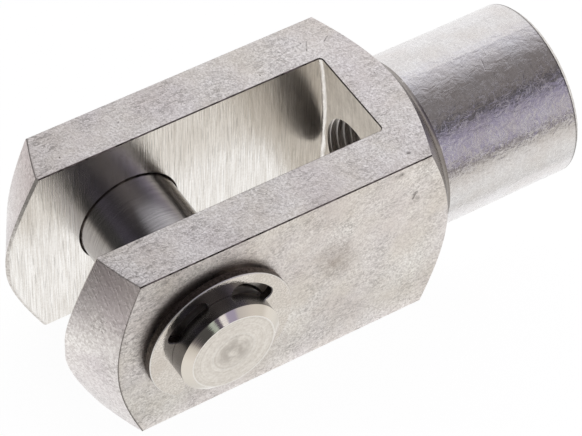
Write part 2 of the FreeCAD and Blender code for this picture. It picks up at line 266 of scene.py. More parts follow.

# %% [markdown]
# ## The bar's own skin
#
# The four flats are the skin of the drawn bar, pickled matt. The eye sees a wrinkled grain of short dark
# strokes, a few pits, clouds of warmer and of pinker grey where the steel has been handled, and thin dark
# lines along the edges, where the bevels of the next cut begin. The strokes are the valleys between folds,
# which a noise shows where it crosses its middle value. Grain finer than a pixel would only flicker, so it
# is drawn 0.36 mm wide here, about twice its real size. The few stains, pits and scratches that catch the
# eye are listed one by one: each is a line between two points and its width, all in mm.

# %% Colours and places of the flats
GRAIN = 0.36                    # width in mm of the finest grain
FLAT_BRIGHT = linear("#F3EFEB")
FLAT_DULL = linear("#C9C4C0")
FLAT_PINK = linear("#CFC5C9")
FLAT_BEIGE = linear("#D3CABD")
# dark colour for dirt in the strokes, pits and scratches, and for painted shade along edges
DIRT = linear("#423A34")
STAIN = linear("#6E5845")
STAIN_SPOTS = [((43.6, -18.4, 20), (44.6, -19.6, 20), 3.4), ((24.5, -20, 6.0), (26.0, -20, 2.0), 4.5)]
PIT_SPOTS = [
    ((37.0, -20, 18.5), (38.0, -20, 18.7), 0.6), ((37.6, -20, 18.2), (38.3, -20, 18.4), 0.5),
    ((41.0, -20, 11.6), (41.5, -20, 11.9), 0.55), ((41.7, -20, 10.4), (42.0, -20, 10.1), 0.5),
    ((40.9, -20, 10.6), (41.2, -20, 11.4), 0.4), ((41.0, -17.3, 20), (41.2, -17.4, 20), 0.5),
    ((46.2, -13.2, 20), (46.3, -13.2, 20), 0.4)]
SCRATCHES = [((39.0, 13.0, 20), (40.2, 15.0, 20), 0.2), ((43.0, 13.4, 20), (44.2, 14.2, 20), 0.16)]
STROKES_START, STROKES_END = 24 * MM, -14 * MM      # along X: the strokes grow toward the tips
HANDLED_START, HANDLED_END = -20 * MM, 45 * MM      # along X: the skin gets cleaner toward the neck
FRONT_CONE_FOOT = ear_tip - tip_radius * cone_slope
FOLD_BREAKS = (0.42, 0.56)      # values of a noise between which a stroke fades in
ELSEWHERE = (7.3, 3.1, 5.7)     # shift that makes a second noise unlike the first

# %% Edges and folds of the flats
def cone_edge(tree, width):
    """1 within a width in mm of the edge where the front cone cuts the bar, measured along the bar."""
    lean = add(tree, "ShaderNodeMath", {
        0: from_axis(tree, 0), 1: cone_slope, 2: FRONT_CONE_FOOT}, operation="MULTIPLY_ADD")
    gap = add(tree, "ShaderNodeMath", {0: (parts_of(tree), "X"), 1: lean}, operation="SUBTRACT")
    return add(tree, "ShaderNodeMapRange", {
        "Value": gap, "From Min": width * MM, "From Max": width * MM / EDGE_SHARE})


def folds(tree, *sizes, detail, bend, width):
    """1 in the valleys of a wrinkled skin: short strokes between folds of the given sizes in mm."""
    place = counted_place(tree, *sizes)
    noise = add(tree, "ShaderNodeTexNoise", {
        "Vector": place, "Scale": 1.0, "Detail": detail, "Distortion": bend})
    level = add(tree, "ShaderNodeMath", {0: noise, 1: 0.5}, operation="SUBTRACT")
    distance = add(tree, "ShaderNodeMath", {0: level}, operation="ABSOLUTE")
    line = add(tree, "ShaderNodeMapRange", {"Value": distance, "From Min": width, "From Max": width / 4})
    shifted = add(tree, "ShaderNodeVectorMath", {0: place, 1: ELSEWHERE}, operation="ADD")
    breaks = add(tree, "ShaderNodeTexNoise", {"Vector": shifted, "Scale": 0.9, "Detail": 2.0})
    kept = add(tree, "ShaderNodeMapRange", {
        "Value": breaks, "From Min": FOLD_BREAKS[0], "From Max": FOLD_BREAKS[1]})
    return add(tree, "ShaderNodeMath", {0: line, 1: kept}, operation="MULTIPLY")

# %% Finish of the flats
def pickled_skin():
    material, tree = new_material("pickled_drawn_stainless")
    grain = marks(tree, GRAIN, bend=0.6)
    long_stroke = folds(tree, 1.7, 0.9, 0.9, detail=2.0, bend=0.8, width=0.07)
    short_stroke = folds(tree, 1.1, 0.55, 0.55, detail=1.0, bend=0.6, width=0.06)
    stroke = any_of(tree, [long_stroke, short_stroke])
    region = marks(tree, 6, high=0.6)
    cloud = marks(tree, 8, detail=4.0)
    blush = marks(tree, 13, detail=3.0)
    pit = pits(tree, 2.6, 0.22)
    parts = parts_of(tree)
    toward_tips = add(tree, "ShaderNodeMapRange", {
        "Value": (parts, "X"), "From Min": STROKES_START, "From Max": STROKES_END,
        "To Min": 0.6, "To Max": 0.85})
    cleaner = add(tree, "ShaderNodeMapRange", {
        "Value": (parts, "X"), "From Min": HANDLED_START, "From Max": HANDLED_END,
        "To Min": 1.04, "To Max": 1.18})
    stroke_here = add(tree, "ShaderNodeMath", {0: stroke, 1: region}, operation="MULTIPLY")
    stroked_by = add(tree, "ShaderNodeMath", {0: stroke_here, 1: toward_tips}, operation="MULTIPLY")
    grained = laid_over(tree, grain, FLAT_DULL, FLAT_BRIGHT)
    clouded = laid_over(tree, cloud, grained, FLAT_BEIGE, share=0.5)
    blushed = laid_over(tree, blush, clouded, FLAT_PINK, share=0.35)
    stroked = laid_over(tree, stroked_by, blushed, DIRT, share=0.5)
    stains = any_of(tree, [near_line(tree, *spot) for spot in STAIN_SPOTS])
    stains_worn = add(tree, "ShaderNodeMath", {0: cloud, 1: 0.3, 2: 0.15}, operation="MULTIPLY_ADD")
    stained = laid_over(tree, stains, stroked, STAIN, share=stains_worn)
    cleaned = add(tree, "ShaderNodeVectorMath", {0: stained, "Scale": cleaner}, operation="SCALE")
    placed = any_of(tree, [near_line(tree, *spot) for spot in PIT_SPOTS + SCRATCHES])
    torn = add(tree, "ShaderNodeMath", {0: placed, 1: grain}, operation="MULTIPLY")
    dents = any_of(tree, [pit, torn])
    # painted shade: a thin dark line is painted along the edge where the front cone meets the flat, together
    # with the real pits and scratches
    dark = any_of(tree, [dents, cone_edge(tree, GRAIN)])
    colour = laid_over(tree, dark, cleaned, DIRT, share=0.8)
    roughness = add(tree, "ShaderNodeMapRange", {"Value": grain, "To Min": 0.36, "To Max": 0.28})
    folded = add(tree, "ShaderNodeMath", {0: stroked_by, 1: -0.8, 2: grain}, operation="MULTIPLY_ADD")
    height = add(tree, "ShaderNodeMath", {0: folded, 1: dents}, operation="SUBTRACT")
    stainless(tree, colour, roughness, height, 0.02)
    return material

# %% [markdown]
# ## Milled slot
#
# A disc cutter passes through the bar from the ears' tips to the slot's bottom. Its side teeth leave fine
# lines across the walls, square to the feed. Stretched noise gives them: a tenth of a millimetre or more
# wide and some millimetres long. A few are cut deeper than the rest and look darker.

# %% Finish of the slot's walls
def milled_slot():
    material, tree = new_material("side_milled_stainless")
    line = marks(tree, 0.14, 20, 6, detail=0.0)
    deep = marks(tree, 0.15, 20, 4, detail=0.0, low=0.66, high=0.74)
    sweep = marks(tree, 1.6, 20, 12, detail=3.0)
    grain = marks(tree, GRAIN)
    shade = weighed(tree, [(line, 0.5), (sweep, 0.2), (grain, 0.2)])
    toned = laid_over(tree, shade, linear("#DDD8D1"), linear("#FFFDFA"))
    # painted shade: a dark band is painted along the wall's front edge, together with the deeper cutter lines
    marked = any_of(tree, [deep, cone_edge(tree, 0.95)])
    colour = laid_over(tree, marked, toned, DIRT, share=0.22)
    roughness = add(tree, "ShaderNodeMapRange", {"Value": shade, "To Min": 0.24, "To Max": 0.16})
    stainless(tree, colour, roughness, shade, 0.012, across=(1, 0, 0), spread=0.6)
    return material

# %% [markdown]
# The cutter's rim leaves faint streaks up and down the slot's bottom, thin and some millimetres long. In the
# round corners its own corner rubs and leaves the metal bright. The sharp edges round the flats and the pin's
# holes were broken with a file, and their dark colour is painted shade, for the dark room that they mirror.

# %% Finish of the slot's bottom, its corners and the broken edges
def milled_bottom():
    material, tree = new_material("end_milled_stainless")
    streak = marks(tree, 9, 0.3, 6)
    blot = marks(tree, 3, detail=3.0)
    grain = marks(tree, 0.5)
    shade = weighed(tree, [(streak, 0.45), (blot, 0.3), (grain, 0.25)])
    return one_height(material, shade, ("#BDB6AD", "#E2DCD3"), (0.4, 0.3), 0.008)


def milled_fillet():
    material, tree = new_material("burnished_stainless_fillet")
    grain = marks(tree, 0.5, 0.5, 2.5)
    return one_height(material, grain, ("#E4DFD9", "#FBF8F4"), (0.34, 0.24), 0.004)


def broken_edge():
    material, tree = new_material("filed_stainless_edge")
    grain = marks(tree, 1.4, detail=4.0)
    # painted shade: the filed edges are coloured dark
    return one_height(material, grain, ("#37302B", "#9A8F86"), (0.5, 0.3), 0.01)

# %% [markdown]
# ## Turned neck, shoulder and cone
#
# The lathe's tool leaves rings round the main axis. On the neck they are polished down, and years of fine
# handling scratches lie over them, so the studio shows in it as bands with ragged edges. A thin dark line of
# painted shade runs round it where its end bevel begins.

# %% Finish of the neck
NECK_SCRATCHES = [
    ((66.4, -4.8, 16.3), (66.9, -2.6, 16.8), 0.12), ((68.2, -2.2, 16.9), (68.6, -0.6, 17), 0.1)]
RIM_START = neck_end - 0.8 * MM
RIM_WIDTH, RIM_CORE = 0.34 * MM, 0.1 * MM       # width of the dark line, and of its darkest part


def turned_neck():
    material, tree = new_material("fine_turned_stainless")
    ring = rings(tree, 0, 0.3, 5)
    hair = folds(tree, 1.3, 2.2, 2.2, detail=1.0, bend=1.6, width=0.05)
    cross = folds(tree, 2.6, 1.2, 1.2, detail=1.0, bend=1.2, width=0.045)
    grain = marks(tree, 0.34, 0.4, 0.4, bend=1.0)
    handling = marks(tree, 2.0, 1.5, 1.5, detail=5.0, bend=0.8)
    blot = marks(tree, 5, detail=3.0)
    scratch = any_of(tree, [near_line(tree, *spot) for spot in NECK_SCRATCHES])
    scored = any_of(tree, [hair, cross])
    shade = weighed(tree, [(ring, 0.15), (grain, 0.5), (scored, 0.5)])
    toned = laid_over(tree, shade, linear("#CFCCCD"), linear("#F8F6F6"))
    blotted = laid_over(tree, blot, toned, linear("#D5CAC0"), share=0.25)
    # painted shade: a thin dark line is painted round the neck where its end bevel begins
    to_rim = add(tree, "ShaderNodeMath", {0: RIM_START, 1: (parts_of(tree), "X")}, operation="SUBTRACT")
    rim = add(tree, "ShaderNodeMapRange", {
        "Value": to_rim, "From Min": RIM_WIDTH, "From Max": RIM_CORE, "To Max": 0.75})
    colour = laid_over(tree, rim, blotted, DIRT)
    smooth = add(tree, "ShaderNodeMapRange", {"Value": blot, "To Min": 0.09, "To Max": 0.15})
    roughness = add(tree, "ShaderNodeMath", {0: scored, 1: 0.3, 2: smooth}, operation="MULTIPLY_ADD")
    worn = weighed(tree, [(shade, 0.35), (handling, 1.2)])
    height = add(tree, "ShaderNodeMath", {0: worn, 1: scratch}, operation="SUBTRACT")
    stainless(tree, colour, roughness, height, 0.028, across=(1, 0, 0), spread=0.4)
    return material

# %% [markdown]
# The shoulder behind the neck is painted dark, as painted shade for the neck's foot and the dark neck it
# mirrors. The narrow bevels at the neck's end and at the slot's mouth are cut clean and shine.

# %% Finish of the shoulder and of the bevels
def turned_shoulder():
    material, tree = new_material("stainless_shoulder_painted_shade")
    ring = rings(tree, 0, 0.3, 6)
    grain = marks(tree, 0.5, detail=3.0, bend=0.6)
    shade = weighed(tree, [(grain, 0.5), (ring, 0.5)])
    # painted shade: dark colours on the shoulder
    return one_height(material, shade, ("#8C8683", "#A39D99"), (0.3, 0.22), 0.006)


def bright_bevel():
    material, tree = new_material("turned_stainless_bevel")
    grain = marks(tree, 0.6, detail=3.0)
    return one_height(material, grain, ("#B9B3AD", "#DDD8D2"), (0.35, 0.25), 0.006)

# %% [markdown]
# The front cone was cut with a coarse feed, 0.4 mm a turn, and its rings have worn soft, so it looks nearly
# as matt as the flats. Toward the top its colour grows darker and a little pink.

# %% Finish of the front cone
FINGERS_LOW, FINGERS_HIGH = 4 * MM, 18 * MM     # heights between which the cone darkens


def turned_cone():
    material, tree = new_material("rough_turned_stainless")
    ring = rings(tree, 0, 0.4, 12, detail=2.0)
    grain = marks(tree, 0.5, bend=0.6)
    stroke = folds(tree, 1.5, 0.9, 0.9, detail=2.0, bend=0.8, width=0.07)
    region = marks(tree, 7, low=0.42, high=0.58)
    blush = marks(tree, 9, detail=3.0)
    toned = laid_over(tree, grain, linear("#D6D0CC"), linear("#F8F4F0"))
    blushed = laid_over(tree, blush, toned, FLAT_PINK, share=0.5)
    upper = add(tree, "ShaderNodeMapRange", {
        "Value": (parts_of(tree), "Z"), "From Min": FINGERS_LOW, "From Max": FINGERS_HIGH, "To Max": 0.65})
    # colour darker toward the top
    fingered = laid_over(tree, upper, blushed, linear("#B3A4A1"))
    stroked = add(tree, "ShaderNodeMath", {0: stroke, 1: region}, operation="MULTIPLY")
    colour = laid_over(tree, stroked, fingered, DIRT, share=0.3)
    roughness = add(tree, "ShaderNodeMapRange", {"Value": grain, "To Min": 0.34, "To Max": 0.26})
    folded = add(tree, "ShaderNodeMath", {0: stroked, 1: -1.0, 2: grain}, operation="MULTIPLY_ADD")
    height = add(tree, "ShaderNodeMath", {0: folded, 1: ring}, operation="ADD")
    stainless(tree, colour, roughness, height, 0.012)
    return material

# %% [markdown]
# ## Fork head
#
# The CAD shape is right to the last bevel, so its mesh is copied and its faces are sorted by the machine
# that cut them. A face's centre and normal are enough to tell: the flats lie on the bar's sides, the slot's
# faces lie between the ears, and whatever is round was turned or bored. How a face lies is told by the part
# of its normal along an axis: 1 when it is square to that axis, and 0 when it runs along it.

# %% Finish that a face of the fork head has
FINISHES = [
    pickled_skin(), milled_slot(), milled_bottom(), turned_neck(), turned_shoulder(), turned_cone(),
    bright_bevel(), milled_fillet(), broken_edge()]
SKIN, MILLED, BOTTOM, TURNED, SHOULDER, CONED, BEVEL, FILLET, BROKEN = range(len(FINISHES))
SLACK = 0.05 * MM               # room for the steps of the mesh
BARELY, LEANING, TILTED = 0.03, 0.1, 0.2    # least tilt of the slot's corner, the shoulder, a mouth's bevel
SLANTED = (0.6, 0.8)            # tilt of a bevel at 45 degrees
STEEP, SQUARE = 0.75, 0.95      # a face nearly square to an axis, and one quite square to it
MOUTH_END = ear_tip + 8 * MM    # the bevels at the slot's mouth lie before this
RIM_BEVEL = neck_end - 0.9 * MM
CORNER_REACH = 3.1 * MM         # the slot's round corner, from its deepest place forward
BACK_HALF = 0.5 * neck_foot
FOOT_REACH = 2 * MM             # the shoulder and the neck's foot, to both sides of where they meet


def finish_of(centre, normal):
    """Number of the finish that a face of the fork head has."""
    from_wall = abs(centre.y) - slot_half
    from_bottom = slot_depth - centre.x
    from_eye = math.hypot(centre.x, centre.z) - pin_radius
    between_ears = from_wall < SLACK and from_bottom > 0
    in_bore = math.hypot(centre.y, centre.z) < thread_major + SLACK and not between_ears
    at_rim = abs(centre.z) > half_bar - 5 * SLACK
    slanted = any(SLANTED[0] < abs(part) < SLANTED[1] for part in normal)
    if centre.x < MOUTH_END and from_wall < 12 * SLACK and TILTED < abs(normal.y) < SQUARE:
        return BEVEL
    if slanted and at_rim and centre.x < neck_foot - 1 * MM:
        return BROKEN
    if slanted and from_eye < 10 * SLACK and not in_bore:
        return BROKEN
    if from_eye < 2 * SLACK or in_bore:
        return TURNED
    if from_wall < 5 * SLACK and not at_rim:
        in_corner = from_wall > -slot_corner - SLACK and -2 * SLACK < from_bottom < CORNER_REACH
        if in_corner and min(abs(normal.x), abs(normal.y)) > BARELY:
            return FILLET
        if from_bottom > 0 and abs(normal.y) > SQUARE:
            return MILLED
        if centre.x > 0 and from_bottom > -SLACK and normal.x < -BARELY:
            return BOTTOM
        if from_bottom > 0 and abs(normal.x) < SLANTED[1]:
            return MILLED
    if centre.x > RIM_BEVEL and slanted:
        return BEVEL
    if BACK_HALF < centre.x < neck_foot + FOOT_REACH and normal.x > LEANING:
        return SHOULDER
    if abs(normal.x) > STEEP:
        return TURNED if centre.x > BACK_HALF else CONED
    return TURNED if centre.x > neck_foot - FOOT_REACH else SKIN

# %% Fork head with one finish for each machine
def copy_of(node_name, name, body):
    """Copy of a CAD piece's mesh that stands for it and rides on its body."""
    piece = bpy.data.objects.new(name, nodes[node_name].data.copy())
    bpy.context.scene.collection.objects.link(piece)
    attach(piece, body)
    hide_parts(node_name)
    return piece


fork = copy_of("fork_head", "fork_head_finished", "fork")
fork.data.materials.clear()
for finish in FINISHES:
    fork.data.materials.append(finish)
for face in fork.data.polygons:
    face.material_index = finish_of(face.center, face.normal)
for number, finish in enumerate(FINISHES):
    print(finish.name, sum(face.material_index == number for face in fork.data.polygons), "faces")

# %% [markdown]
# The round corners beside the slot's bottom follow its hollow curve, and the CAD mesh steps along them in
# short flats. A corner is bright enough to show every step. Its true direction is known at each point, from
# its own radius and the cutter's, so the copy's shading normals are set to it.

# %% Smooth shading of the slot's round corner
def corner_normal(point):
    """Direction of the slot's round corner at a point: out of the metal, toward the slot."""
    swing = math.asin(point.z / cutter_radius)
    bottom = slot_depth - cutter_radius * (1 - math.cos(swing))
    ahead = max(point.x - (bottom - slot_corner), 0.0) / slot_corner
    aside = (abs(point.y) - (slot_half - slot_corner)) / slot_corner
    inward = -math.copysign(max(aside, 0.0), point.y)
    return Vector((-ahead * math.cos(swing), inward, -ahead * math.sin(swing))).normalized()


shading = [corner.vector.copy() for corner in fork.data.corner_normals]
rounded = [face for face in fork.data.polygons if face.material_index == FILLET]
for face in rounded:
    for corner in face.loop_indices:
        vertex = fork.data.vertices[fork.data.loops[corner].vertex_index]
        shading[corner] = corner_normal(vertex.co)
fork.data.normals_split_custom_set(shading)
print("corners shaded anew:", sum(len(face.vertices) for face in rounded))

# %% [markdown]
# ## Rod thread
#
# The CAD bore has the thread's major diameter, and the thread itself is added here. A thread is a groove
# wound round the bore, so its surface is a grid: round the axis one way, along it the other way, with each
# point's radius taken from the thread's section. The rows follow the helix, so each edge of the ridge is
# one clean line. The tap came in from the neck's end, so the last turn before the slot is only partly cut:
# the hole there has the drill's diameter, and a ring of the slot's bottom closes the gap to the CAD bore.

# %% Section of the thread
THREAD_SIDES = 96
ROOT_FLAT = thread_pitch / 8
CREST_FLAT = thread_pitch / 4
FLANK = (thread_pitch - ROOT_FLAT - CREST_FLAT) / 2
STOPS = [0.0, ROOT_FLAT, ROOT_FLAT + FLANK / 2, ROOT_FLAT + FLANK,
         ROOT_FLAT + FLANK + CREST_FLAT, thread_pitch - FLANK / 2]
CORE_RADIUS = thread_major - thread_depth
RUN_IN = 0.5 * MM               # length over which the first turn grows to its full depth
ROOT_GAP = 0.02 * MM            # the thread's root stays this far inside the CAD bore
SUNK = 0.01 * MM                # the ring round the hole lies this far below the slot's bottom
RING_RADII = [thread_major + 0.1 * MM, thread_major, thread_major - 0.25 * MM, CORE_RADIUS + 0.25 * MM]
SPARE_TURNS = 2                 # turns begun before the slot's bottom, pushed together at the first row
JOIN_WITHIN = 0.0005 * MM       # points nearer to each other than this are one


def thread_radius(along, turn, first):
    """Radius of the thread at a place along the axis and an angle in turns."""
    phase = (along / thread_pitch - turn) % 1.0 * thread_pitch
    from_root = min(max(phase - ROOT_FLAT, 0.0), thread_pitch - phase)
    cut = thread_depth * min(from_root / FLANK, 1.0)
    bevelled = max(neck_end - mouth_bevel - along, 0.0)
    whole = thread_major - max(min(cut, bevelled), ROOT_GAP)
    return CORE_RADIUS + (whole - CORE_RADIUS) * min((along - first) / RUN_IN, 1.0)


def slot_bottom(across, height):
    """How far the slot's bottom is from the pin's axis: hollow, and rounded up at the walls."""
    hollow = slot_depth - cutter_radius + math.sqrt(cutter_radius ** 2 - height ** 2)
    corner = min(max(abs(across) - (slot_half - slot_corner), 0.0), slot_corner)
    return hollow - slot_corner + math.sqrt(slot_corner ** 2 - corner ** 2) + SUNK

# %% Thread as one wound surface
def make_thread():
    """Points and faces of the thread, with the ring that closes it at the slot's bottom."""
    turns = math.ceil((neck_end - slot_depth) / thread_pitch) + SPARE_TURNS + 1
    rows = turns * len(STOPS)
    points, faces = [], []
    lead = len(RING_RADII)
    for side in range(THREAD_SIDES):
        turn = side / THREAD_SIDES
        y_way, z_way = math.cos(turn * math.tau), math.sin(turn * math.tau)
        first = slot_bottom(CORE_RADIUS * y_way, CORE_RADIUS * z_way)
        last = neck_end - mouth_bevel
        begin = (math.floor(slot_depth / thread_pitch) - SPARE_TURNS + turn) * thread_pitch
        for radius in RING_RADII:
            place = slot_bottom(radius * y_way, radius * z_way)
            points.append((place, radius * y_way, radius * z_way))
        for row in range(rows):
            nominal = begin + row // len(STOPS) * thread_pitch + STOPS[row % len(STOPS)]
            along = min(max(nominal, first), last)
            radius = thread_radius(along, turn, first)
            points.append((along, radius * y_way, radius * z_way))
        points.append((last, RING_RADII[0] * y_way, RING_RADII[0] * z_way))
    column = lead + rows + 1
    for side in range(THREAD_SIDES):
        here, there = side * column, (side + 1) % THREAD_SIDES * column
        shift = len(STOPS) if side == THREAD_SIDES - 1 else 0
        for row in range(lead):
            faces.append((here + row, here + row + 1, there + row + 1, there + row))
        for row in range(lead, lead + rows - 1):
            next_row = min(row + shift, lead + rows - 1)
            over = min(row + 1 + shift, lead + rows - 1)
            faces.append((here + row, here + row + 1, there + over, there + next_row))
        end = lead + rows - 1
        faces.append((here + end, here + end + 1, there + end + 1, there + end))
        faces.append((here + end + 1, here, there, there + end + 1))
    return points, faces

# %% Mesh of the thread
points, faces = make_thread()
thread_mesh = bpy.data.meshes.new("rod_thread")
thread_mesh.from_pydata(points, [], faces)
shaped = bmesh.new()
shaped.from_mesh(thread_mesh)
bmesh.ops.remove_doubles(shaped, verts=shaped.verts, dist=JOIN_WITHIN)
bmesh.ops.dissolve_degenerate(shaped, edges=shaped.edges, dist=JOIN_WITHIN)
bmesh.ops.recalc_face_normals(shaped, faces=shaped.faces)
open_edges = sum(len(edge.link_faces) != 2 for edge in shaped.edges)
shaped.to_mesh(thread_mesh)
shaped.free()
thread = bpy.data.objects.new("rod_thread", thread_mesh)
bpy.context.scene.collection.objects.link(thread)
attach(thread, "fork")
print("thread faces:", len(thread_mesh.polygons), "open edges:", open_edges)

# %% [markdown]
# A tap leaves faint rings along the thread. Deep in the dark bore only the crests catch light, so the metal
# is bright and scatters it widely. The ring round the hole belongs to the slot's bottom and looks like it.

# %% Finish of the thread
def tapped_thread():
    material, tree = new_material("tapped_stainless")
    ring = rings(tree, 0, 0.2, 8)
    return one_height(material, ring, ("#E0DAD3", "#FBF7F3"), (0.32, 0.42), 0.002)


RING_END = slot_depth + 0.03 * MM       # the ring round the hole lies before this,
RING_TILT = 0.3                         # and its faces look at least this much along the axis
thread_mesh.materials.append(tapped_thread())
thread_mesh.materials.append(FINISHES[BOTTOM])
for face in thread_mesh.polygons:
    in_ring = face.center.x < RING_END and math.hypot(face.center.y, face.center.z) > CORE_RADIUS
    face.material_index = int(in_ring and abs(face.normal.x) > RING_TILT)
print("faces of the thread's ring:", sum(face.material_index for face in thread_mesh.polygons))

# %% [markdown]
# ## Ground pin
#
# The pin is ground between centres: the wheel leaves scratches round it that are too fine to see one by
# one, so the shank is smooth and dark, with soft bands. The collars beyond the grooves are painted darker
# still, a painted shade for the dark things they mirror. The bevels at its ends were cut with a sharp tool
# and mirror the room almost like glass. Its end faces were turned matt, and their rings are wide enough to
# see, round a duller patch in the middle. Two of the rings are bright, where the tool dwelt: one at the rim
# and one halfway in.

# %% Finish of the pin's ends
PATCH_CORE, PATCH_END = 1.0 * MM, 5.5 * MM      # radii between which the dull patch fades
RIM_FADE = (8.05 * MM, 8.2 * MM)                # radii between which the bright ring at the rim begins
DWELL_RADIUS = 4.2 * MM                         # of the bright ring halfway in
DWELL_FADE = (0.25 * MM, 0.1 * MM)              # distances from it between which it begins


def faced(tree):
    """How squarely a face of a pin or a ring looks along the pin: 1 on an end face, 0 on the shank."""
    return add(tree, "ShaderNodeMath", {0: (parts_of(tree, "Normal"), "Y")}, operation="ABSOLUTE")


def pin_end_tone(tree, mixed):
    """Colour of the pin's end faces, with its rings and its dull middle. mixed is the height of the marks."""
    radius = from_axis(tree, 1)
    toned = laid_over(tree, mixed, linear("#DCD5CD"), linear("#F8F3ED"))
    at_rim = add(tree, "ShaderNodeMapRange", {
        "Value": radius, "From Min": RIM_FADE[0], "From Max": RIM_FADE[1], "To Max": 0.6})
    outside = add(tree, "ShaderNodeMath", {0: radius, 1: DWELL_RADIUS}, operation="SUBTRACT")
    from_dwell = add(tree, "ShaderNodeMath", {0: outside}, operation="ABSOLUTE")
    at_dwell = add(tree, "ShaderNodeMapRange", {
        "Value": from_dwell, "From Min": DWELL_FADE[0], "From Max": DWELL_FADE[1], "To Max": 0.3})
    bright_rings = any_of(tree, [at_rim, at_dwell])
    ringed = laid_over(tree, bright_rings, toned, linear("#FFFDFA"))
    outward = add(tree, "ShaderNodeMapRange", {
        "Value": radius, "From Min": PATCH_CORE, "From Max": PATCH_END}, interpolation_type="SMOOTHSTEP")
    inward = add(tree, "ShaderNodeMath", {0: 1.0, 1: outward}, operation="SUBTRACT")
    blotch = marks(tree, 1.8, detail=3.0, low=0.3, high=0.6)
    blotched = add(tree, "ShaderNodeMath", {0: inward, 1: blotch}, operation="MULTIPLY")
    return laid_over(tree, blotched, ringed, linear("#BFB8B1"), share=0.9)

# %% Finish of the whole pin
COLLAR_START = 21.5 * MM        # from the pin's middle


def ground_pin():
    material, tree = new_material("centre_ground_stainless")
    fine = rings(tree, 1, 0.2, 9)
    wide = rings(tree, 1, 0.5, 30, detail=2.0)
    grain = marks(tree, 0.5)
    mixed = weighed(tree, [(wide, 0.5), (grain, 0.5)])
    facing = faced(tree)
    is_end = add(tree, "ShaderNodeMath", {0: facing, 1: SQUARE}, operation="GREATER_THAN")
    off_shank = add(tree, "ShaderNodeMath", {0: facing, 1: 0.5}, operation="GREATER_THAN")
    side_tone = laid_over(tree, fine, linear("#A9A6A5"), linear("#BBB8B7"))
    outboard = add(tree, "ShaderNodeMath", {0: (parts_of(tree), "Y")}, operation="ABSOLUTE")
    on_collar = add(tree, "ShaderNodeMath", {0: outboard, 1: COLLAR_START}, operation="GREATER_THAN")
    # painted shade: the collars are coloured darker than the shank
    barrel_tone = laid_over(tree, on_collar, side_tone, linear("#7E7C7B"))
    turned_tone = laid_over(tree, off_shank, barrel_tone, linear("#E4DDD4"))
    colour = laid_over(tree, is_end, turned_tone, pin_end_tone(tree, mixed))
    side_rough = add(tree, "ShaderNodeMapRange", {"Value": off_shank, "To Min": 0.22, "To Max": 0.06})
    roughness = add(tree, "ShaderNodeMix", {"Factor": is_end, "A": side_rough, "B": 0.34})
    height = add(tree, "ShaderNodeMix", {"Factor": is_end, "A": fine, "B": mixed})
    stainless(tree, colour, roughness, height, 0.003, across=(0, 1, 0), spread=0.75)
    return material


def give_finish(node_name, finish):
    """Give every material slot of a CAD piece the finish. Its mesh stays as it is."""
    for slot in nodes[node_name].material_slots:
        slot.link = "OBJECT"
        slot.material = finish


pin_finish = ground_pin()
give_finish("clevis_pin", pin_finish)
print("finish of the pin:", pin_finish.name)

# %% [markdown]
# ## Snap rings
#
# Each ring is punched from spring steel strip and tumbled with small stones, which leaves its faces fine
# and even. The punch rolls the edge of the face that it enters, and that edge is painted near white, a
# painted highlight. It shears the sides, which stay rough and are painted dark, a painted shade.

# %% Finish of the rings
def tumbled_ring():
    material, tree = new_material("tumbled_spring_stainless")
    grain = marks(tree, 0.4, detail=3.0)
    cloud = marks(tree, 4, detail=3.0)
    facing = faced(tree)
    is_face = add(tree, "ShaderNodeMath", {0: facing, 1: 0.5}, operation="GREATER_THAN")
    is_flat = add(tree, "ShaderNodeMath", {0: facing, 1: SQUARE}, operation="GREATER_THAN")
    grained = laid_over(tree, grain, linear("#CFC8C1"), linear("#EAE4DE"))
    clouded = laid_over(tree, cloud, grained, linear("#C9BFB5"), share=0.5)
    # painted shade: the sheared sides are coloured dark
    sheared = laid_over(tree, grain, linear("#4E4741"), linear("#7D746C"))
    # painted highlight: the rolled edge between face and side is coloured near white
    rolled = laid_over(tree, is_flat, linear("#FFFCF8"), clouded)
    colour = laid_over(tree, is_face, sheared, rolled)
    roughness = add(tree, "ShaderNodeMapRange", {"Value": is_flat, "To Min": 0.5, "To Max": 0.09})
    stainless(tree, colour, roughness, grain, 0.004)
    return material


ring_finish = tumbled_ring()
give_finish("front_clip", ring_finish)
give_finish("rear_clip", ring_finish)
print("finish of both rings:", ring_finish.name)

# %% [markdown]
# ## Floor and studio
#
# Polished metal has hardly a colour of its own: it shows the room. The room here is a white paper floor, a
# bright wall behind the part and a dim, slightly violet room before it, with the ceiling darker than both.
# Through Light Path the camera sees the floor white, with a faint shadow on a small share of plain diffuse
# paper, while the metal mirrors its shades. Toward the front it dims, as paper does away from a lamp, and on
# the far left it is dimmer still. To the right of a slanted line it stays light. All places are in metres.

# %% Shades of the floor
BACK = Vector((0.555, 0.832, 0.0))
RIGHT = Vector((0.832, -0.555, 0.0))
FLOOR_SIZE = 3.0
FLOOR_SHADES = [
    (0.0, (0.22, 0.20, 0.21)), (0.50, (0.23, 0.21, 0.21)), (0.63, (0.31, 0.29, 0.28)),
    (0.72, (0.48, 0.46, 0.44)), (0.828, (0.68, 0.66, 0.62)), (0.898, (0.80, 0.78, 0.75)),
    (0.93, (0.88, 0.87, 0.84)), (0.974, (0.87, 0.87, 0.85)), (0.992, (0.76, 0.76, 0.74)),
    (1.0, (1.0, 1.0, 1.0))]
FLOOR_RIGHT = (0.72, 0.70, 0.66, 1.0)
SHADES_START, SHADES_END = -0.45, -0.02     # places along Y between which the shades run
LEFT_START, LEFT_END = -0.22, -0.05         # places along X between which the left gets light
RIGHT_SLANT, RIGHT_EDGE = 0.9, 0.05         # slope and width of the line where the right begins
DIMMEST = 0.3
PAPER_WHITE = (0.96, 0.96, 0.96, 1.0)
PAPER_SHARE = (0.14, 0.14, 0.14, 1.0)


